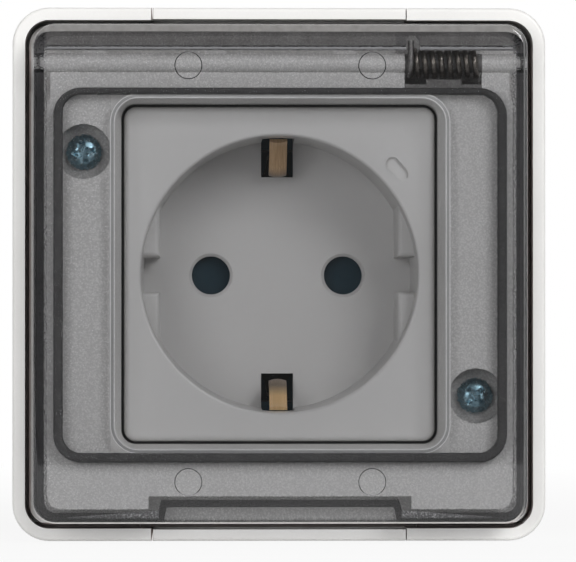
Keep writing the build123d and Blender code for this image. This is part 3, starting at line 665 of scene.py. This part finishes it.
def makeScrews():
    look = screwLook
    turn = fullTurn(look["turnSteps"])
    r = np.linspace(look["inmost"], 1, look["ringSteps"]) ** look["ringPower"] * look["head"]
    rr, aa = np.meshgrid(r, turn, indexing="ij")
    x, z = rr * np.cos(aa), rr * np.sin(aa)
    # dome: the height falls with a power of the radius
    dome = look["high"] - look["drop"] * (rr / look["head"]) ** look["domePower"]

    # one bar of the cross: it fades towards its sides and its ends
    def bar(u, v):
        sides = fade((look["arm"] - np.abs(v)) / look["armFade"])
        return sides * fade((look["reach"] - np.abs(u)) / look["reachFade"])

    # recess: the deeper of the two bars and of a pit that fades with the radius
    cross = np.maximum(bar(x, z), bar(z, x))
    pit = fade((look["pit"] - rr) / look["pitFade"]) * fade((look["pitEdge"] - rr) / look["pitEdgeFade"])
    high = np.maximum(dome - look["deep"] * np.maximum(cross, look["pitShare"] * pit), look["least"])
    upper = np.stack([x, high, z], axis=2)
    # edge, underside and shank: rings with a radius and a height, the thread a wave that climbs with the angle
    shank = np.linspace(look["shankTop"], -look["length"], look["shankSteps"])
    down = np.concatenate([np.array([look["edge"], 0.0, 0.0]), shank])[:, None]
    wave = np.abs(((down / look["pitch"] + turn / (2 * np.pi)) % 1.0) * 2 - 1)
    taper = np.clip((look["length"] + down) / look["tip"], look["tipLeast"], 1)
    radius = (look["shank"] + look["thread"] * wave) * taper
    radius[:2] = look["head"]
    radius[2] = look["shank"] + look["neck"]
    level = np.broadcast_to(down, radius.shape)
    lower = np.stack([radius * np.cos(turn), level, radius * np.sin(turn)], axis=2)
    shape = np.concatenate([upper, lower])
    for number, (sx, sz, degrees) in enumerate(look["spots"], 1):
        c, s = math.cos(math.radians(degrees)), math.sin(math.radians(degrees))
        px = shape[..., 0] * c - shape[..., 2] * s + sx
        pz = shape[..., 0] * s + shape[..., 2] * c + sz
        grid = np.stack([px, look["seat"] - shape[..., 1], pz], axis=2) * mm
        gridPiece("coverScrew%d" % number, grid, zincScrews, "housing", caps=True,
                              smoothAngle=50)
    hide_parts("cover_screws")


# window edges: a frosted band on the step round the polished field, with a fine bead along each of its sides;
# the beads' near-white is a painted highlight line and the band's grey is painted in place of the light the
# step refracts
edgeLook = dict(rings=((47.2, 50.0, 3.9, -42.975, 0.13), (46.2, 49.0, 3.4, -43.165, 0.10)), high=0.035,
                band=(46.7, 49.5, 3.65, -43.07), bandHalf=0.24, slope=0.4, thick=0.03, steps=12)
# painted highlight: near-white beads that stand for the light lines at the step's edges
edgeFrost = makeMoulded("edgeFrost", dict(
    colour=(0.98, 0.98, 0.97, 1), shade=(0.84, 0.84, 0.83, 1), grain=2200, rough=0.35, spread=0.2,
    reach=0.0006, dust=0.1, dustColour=(0.4, 0.4, 0.4, 1), gloss=0.5, bump=0.3, depth=0.00003))
# painted tone: the band's grey stands for the light the step refracts
bandFrost = makeMoulded("bandFrost", dict(
    colour=(0.58, 0.58, 0.575, 1), shade=(0.42, 0.42, 0.42, 1), grain=2600, rough=0.4, spread=0.2,
    reach=0.0006, dust=0.1, dustColour=(0.35, 0.35, 0.35, 1), gloss=0.5, bump=0.3, depth=0.00003))


def makeWindowEdges():
    look = edgeLook
    turn = fullTurn(look["steps"])
    # the beads are flat ovals
    for number, (width, height, corner, depth, half) in enumerate(look["rings"], 1):
        section = np.stack([half * np.cos(turn), look["high"] * np.sin(turn)], axis=1)
        grid = carried(*ringPath(width, height, corner, depth), section) * mm
        gridPiece("windowEdge%d" % number, grid, edgeFrost, "cover", closeAlong=True,
                  smoothAngle=80)
    # the band leans with the step: its depth grows with the distance from its middle line
    across = look["bandHalf"] * np.cos(turn)
    section = np.stack([across, look["slope"] * across + look["thick"] * np.sin(turn)], axis=1)
    grid = carried(*ringPath(*look["band"]), section) * mm
    gridPiece("windowBand", grid, bandFrost, "cover", closeAlong=True, smoothAngle=80)


# lid edge: a thin band inside the rounded edge, painted as the edge's highlight, brightest at the bottom and
# top; each side has its own distances
lidEdgeLook = dict(
    width=68.8, height=69.5, corner=3.2, depth=-44.5, thick=0.015, steps=12,
    top=(0.15, 1.10), bottom=(0.04, 0.36), left=(0.05, 0.12), right=(0.44, 0.62),
    topTone=(0.30, 0.29, 0.28, 1), bottomTone=(0.62, 0.60, 0.57, 1), sideTone=(0.15, 0.15, 0.15, 1),
    toneFrom=0.0322, toneTo=0.0338, scale=900.0, detail=3.0, noiseFrom=0.3, noiseTo=0.7, shade=0.75,
    smoother=0.4, rougher=0.6)


def makePaintedLidEdgeHighlight():
    look = lidEdgeLook
    material, tree, shader = newMaterial("edgeGlow")
    place = objectPlace(tree)
    _, _, z = axesOf(tree, place)
    # painted highlight tone by height: the sides' between the lower and the upper run
    upper = spread(tree, z, look["toneFrom"], look["toneTo"], 0.0, 1.0)
    lower = spread(tree, z, -look["toneFrom"], -look["toneTo"], 0.0, 1.0)
    tone = blendColour(tree, upper, look["sideTone"], look["topTone"])
    tone = blendColour(tree, lower, tone, look["bottomTone"])
    noise = cloud(tree, place, look["scale"], look["detail"])
    drift = spread(tree, noise, look["noiseFrom"], look["noiseTo"], look["shade"], 1.0)
    dim = addNode(tree, "ShaderNodeMix", data_type="RGBA", blend_type="MULTIPLY", in0=1.0)
    join(tree, tone, dim.inputs[6])
    join(tree, drift, dim.inputs[7])
    join(tree, dim.outputs[2], shader.inputs["Base Color"])
    rough = spread(tree, noise, look["noiseFrom"], look["noiseTo"], look["smoother"], look["rougher"])
    join(tree, rough, shader.inputs["Roughness"])
    return material


def makeLidEdge():
    look = lidEdgeLook
    spots, normals = roundedOutline(look["width"], look["height"], look["corner"])
    # share of each side at a point: the square of the normal's part towards it
    shares = [np.clip(normals[:, 1], 0, 1) ** 2, np.clip(-normals[:, 1], 0, 1) ** 2,
              np.clip(-normals[:, 0], 0, 1) ** 2, np.clip(normals[:, 0], 0, 1) ** 2]
    sides = [look["top"], look["bottom"], look["left"], look["right"]]
    near = sum(share * side[0] for share, side in zip(shares, sides))
    far = sum(share * side[1] for share, side in zip(shares, sides))
    # section: a flat oval from the near to the far distance inside the outline
    turn = fullTurn(look["steps"])
    inset = (near + far)[:, None] / 2 + (far - near)[:, None] / 2 * np.cos(turn)
    x = spots[:, :1] - inset * normals[:, :1]
    z = spots[:, 1:] - inset * normals[:, 1:]
    y = look["depth"] + look["thick"] * np.broadcast_to(np.sin(turn), x.shape)
    grid = np.stack([x, y, z], axis=2) * mm
    gridPiece("lidEdge", grid, makePaintedLidEdgeHighlight(), "cover", closeAlong=True, smoothAngle=80)


# corner grain: the eroded inner corner beside the finger grip, a dark strip of light specks that widens to the
# grip; the specks are painted glints and the dark strip is painted shade
cornerLook = dict(
    near=16.9, far=29.5, low=-33.98, highNear=-32.95, highFar=-33.85, depth=-43.2, thick=0.015,
    count=40, steps=12, dark=(0.055, 0.055, 0.058, 1), light=(0.60, 0.60, 0.60, 1),
    fadeFrom=0.0290, fadeTo=0.0205, faint=0.15, scale=3800.0, detail=2.0, noiseRough=0.7,
    speckFrom=0.42, speckTo=0.68, noiseFrom=0.3, noiseTo=0.7, smoother=0.3, rougher=0.55,
    bump=0.5, bumpDepth=0.00005)


def makePaintedCornerGlints():
    look = cornerLook
    material, tree, shader = newMaterial("cornerSpecks")
    place = objectPlace(tree)
    noise = cloud(tree, place, look["scale"], look["detail"], look["noiseRough"])
    speck = spread(tree, noise, look["speckFrom"], look["speckTo"], 0.0, 1.0)
    # the painted glints grow fainter away from the grip
    beside = calc(tree, "ABSOLUTE", axesOf(tree, place)[0])
    near = spread(tree, beside, look["fadeFrom"], look["fadeTo"], look["faint"], 1.0)
    mask = calc(tree, "MULTIPLY", calc(tree, "MULTIPLY", speck, speck), near)
    join(tree, blendColour(tree, mask, look["dark"], look["light"]), shader.inputs["Base Color"])
    rough = spread(tree, noise, look["noiseFrom"], look["noiseTo"], look["smoother"], look["rougher"])
    join(tree, rough, shader.inputs["Roughness"])
    addBump(tree, noise, shader, look["bump"], look["bumpDepth"])
    return material


def makeCorners():
    look = cornerLook
    specks = makePaintedCornerGlints()
    run = np.linspace(0, 1, look["count"])[:, None]
    turn = fullTurn(look["steps"])
    # the upper edge drops in a straight line from the grip to the corner
    high = look["highNear"] + run * (look["highFar"] - look["highNear"])
    z = (high + look["low"]) / 2 + (high - look["low"]) / 2 * np.cos(turn)
    y = look["depth"] + look["thick"] * np.broadcast_to(np.sin(turn), z.shape)
    for name, side in (("cornerLeft", -1), ("cornerRight", 1)):
        x = np.broadcast_to(side * (look["near"] + run * (look["far"] - look["near"])), z.shape)
        grid = np.stack([x, y, z], axis=2) * mm
        gridPiece(name, grid, specks, "cover", caps=True, smoothAngle=80)


# earth bracket: one strip that runs down the upper clip, across the base and up the lower clip; a clip's line
# bows towards the well's middle and flares at the mouth, and the section across it is a low arch
clipLook = dict(strap=7.6, high=30.2, line=17.1, bulge=(2.95, 2.1), flare=2.2, foot=17.5, span=13.5, bend=1.15,
                half=1.25, strapHalf=2.3, widenFrom=1.0, widenOver=2.0, level=0.01, arch=0.24, lip=0.06,
                under=0.3, count=44, strapSteps=26, archSteps=15)


# clip line: a straight line less a sine bow, plus a flare that grows with the cube of the height
def clipLine(bulge):
    look = clipLook
    z = np.linspace(look["high"], look["strap"], look["count"])
    lift = np.maximum(0, (z - look["foot"]) / look["span"])
    bow = bulge * np.sin(np.pi * np.minimum(1, lift * look["bend"]))
    return np.stack([look["line"] - bow + look["flare"] * lift ** 3, z], axis=1)


def makeBracket():
    look = clipLook
    upper = clipLine(look["bulge"][0])
    lower = clipLine(look["bulge"][1])[::-1] * np.array([-1.0, 1.0])
    run = np.linspace(look["line"], -look["line"], look["strapSteps"])[1:-1]
    line = np.concatenate([upper, np.stack([run, np.full(len(run), look["strap"])], axis=1), lower])
    along = np.gradient(line, axis=0)
    along /= np.linalg.norm(along, axis=1, keepdims=True)
    # outward is the way along the strip turned a quarter towards the well's middle
    none = np.zeros(len(line))
    outward = np.stack([none, along[:, 0], along[:, 1]], axis=1)
    path = np.stack([none, -line[:, 1], line[:, 0]], axis=1)
    # the strap widens in a straight line away from the clips
    inStrap = np.clip((look["line"] - np.abs(line[:, 0]) - look["widenFrom"]) / look["widenOver"], 0, 1)
    inStrap = inStrap * (line[:, 1] < look["strap"] + look["level"])
    wide = 1 + inStrap * (look["strapHalf"] / look["half"] - 1)
    sideways = np.stack([wide, none, none], axis=1)
    turn = np.linspace(-1, 1, look["archSteps"])
    front = np.stack([look["half"] * turn, look["arch"] * (1 - turn ** 2) + look["lip"]], axis=1)
    back = np.stack([look["half"] * turn[::-1], np.full(len(turn), -look["under"])], axis=1)
    grid = carried(path, sideways, outward, np.concatenate([front, back])) * mm
    piece = gridPiece("earthBracket", grid, clipBrass, "housing", caps=True, smoothAngle=50)
    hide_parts("earth_bracket")


makeBracket()
makeWindowEdges()
makeLidEdge()
makeCorners()
makeLidSeal()
makeSpring()
makeScrews()
print("bracket, lid edges, seal, spring and screws made")

# floor: white as seen, with the object's shadow kept close to it
floorLook = dict(drop=0.0002, side=3.0, front=-0.45, back=4.0, colour=(0.90, 0.90, 0.895, 1),
                 rough=0.9, gloss=0.1, near=0.06, far=0.35, nearShare=0.9)


def makeFloor():
    look = floorLook
    side, front, back = look["side"], look["front"], look["back"]
    z = cadBounds[0][2] - look["drop"]
    corners = [(-side, front, z), (side, front, z), (side, back, z), (-side, back, z)]
    mesh = bpy.data.meshes.new("floor")
    mesh.from_pydata(corners, [], [(0, 1, 2, 3)])
    floor = bpy.data.objects.new("floor", mesh)
    bpy.context.scene.collection.objects.link(floor)
    material, tree, shader = newMaterial("paleFloor")
    shader.inputs["Base Color"].default_value = look["colour"]
    shader.inputs["Roughness"].default_value = look["rough"]
    shader.inputs["Specular IOR Level"].default_value = look["gloss"]
    # share of white: grows with the distance from the object
    reach = addNode(tree, "ShaderNodeVectorMath", operation="LENGTH")
    join(tree, objectPlace(tree), reach.inputs[0])
    away = spread(tree, reach.outputs["Value"], look["near"], look["far"], look["nearShare"], 1.0)
    rays = addNode(tree, "ShaderNodeLightPath")
    clear = calc(tree, "MAXIMUM", rays.outputs["Is Glossy Ray"], rays.outputs["Is Transmission Ray"])
    seen = calc(tree, "MAXIMUM", rays.outputs["Is Camera Ray"], clear)
    glow = addNode(tree, "ShaderNodeEmission", at_Strength=1.0)
    mixed = addNode(tree, "ShaderNodeMixShader")
    join(tree, calc(tree, "MULTIPLY", seen, away), mixed.inputs[0])
    join(tree, shader.outputs[0], mixed.inputs[1])
    join(tree, glow.outputs[0], mixed.inputs[2])
    join(tree, mixed.outputs[0], tree.nodes["Material Output"].inputs["Surface"])
    mesh.materials.append(material)


# world: a dim light all round, and white where the camera or a ray through the lid sees it
worldLook = dict(colour=(1.0, 0.995, 0.985, 1), ambient=0.13, side=0.10, behindFrom=0.1, behindTo=0.5)


def makeWorld():
    look = worldLook
    world = bpy.data.worlds.new("studio")
    bpy.context.scene.world = world
    world.use_nodes = True
    tree = world.node_tree
    tree.nodes.clear()
    x, y, _ = axesOf(tree, addNode(tree, "ShaderNodeTexCoord").outputs["Generated"])
    # strength = all round + towards the sides (square of x)
    wide = calc(tree, "MULTIPLY", calc(tree, "MULTIPLY", x, x), look["side"])
    light = addNode(tree, "ShaderNodeBackground", at_Color=look["colour"])
    join(tree, calc(tree, "ADD", wide, look["ambient"]), light.inputs["Strength"])
    white = addNode(tree, "ShaderNodeBackground", at_Color=(1, 1, 1, 1), at_Strength=1.0)
    rays = addNode(tree, "ShaderNodeLightPath")
    clear = calc(tree, "MAXIMUM", rays.outputs["Is Glossy Ray"], rays.outputs["Is Transmission Ray"])
    behind = spread(tree, y, look["behindFrom"], look["behindTo"], 0.0, 1.0)
    seen = calc(tree, "MAXIMUM", rays.outputs["Is Camera Ray"], calc(tree, "MULTIPLY", clear, behind))
    mixed = addNode(tree, "ShaderNodeMixShader")
    join(tree, seen, mixed.inputs[0])
    join(tree, light.outputs[0], mixed.inputs[1])
    join(tree, white.outputs[0], mixed.inputs[2])
    out = addNode(tree, "ShaderNodeOutputWorld")
    join(tree, mixed.outputs[0], out.inputs["Surface"])


# stands the piece at a place with its -Z axis on the aim
def pointAt(piece, place, aim):
    piece.location = place
    piece.rotation_euler = (Vector(aim) - Vector(place)).to_track_quat("-Z", "Y").to_euler()
    bpy.context.scene.collection.objects.link(piece)


# lamps: two soft boxes in front; the left one isn't mirrored in the lid
lampAim = (0, -0.03, 0)
lamps = [
    dict(name="keyRight", at=(0.45, -0.95, 0.42), size=(0.45, 0.45), power=7.45, mirrored=True),
    dict(name="sideLeft", at=(-0.42, -1.00, 0.10), size=(0.45, 0.60), power=5.9, mirrored=False),
]


def makeLamps():
    for lamp in lamps:
        data = bpy.data.lights.new(lamp["name"], "AREA")
        data.shape = "RECTANGLE"
        data.size, data.size_y = lamp["size"]
        data.energy = lamp["power"]
        piece = bpy.data.objects.new(lamp["name"], data)
        piece.visible_glossy = lamp["mirrored"]
        pointAt(piece, lamp["at"], lampAim)


cameraLook = dict(at=(-0.01447, -0.73987, -0.0074), aim=(0.00115, -0.0400, -0.00099), lens=312.67, sensor=36.0,
                  nearest=0.01, farthest=20.0)


def makeCamera():
    look = cameraLook
    data = bpy.data.cameras.new("camera")
    data.sensor_fit = "HORIZONTAL"
    data.sensor_width = look["sensor"]
    data.lens = look["lens"]
    data.clip_start = look["nearest"]
    data.clip_end = look["farthest"]
    piece = bpy.data.objects.new("camera", data)
    pointAt(piece, look["at"], look["aim"])
    bpy.context.scene.camera = piece


makeFloor()
makeWorld()
makeLamps()
makeCamera()
bpy.context.scene.view_settings.view_transform = "Standard"
print("floor, world, lamps and camera set")
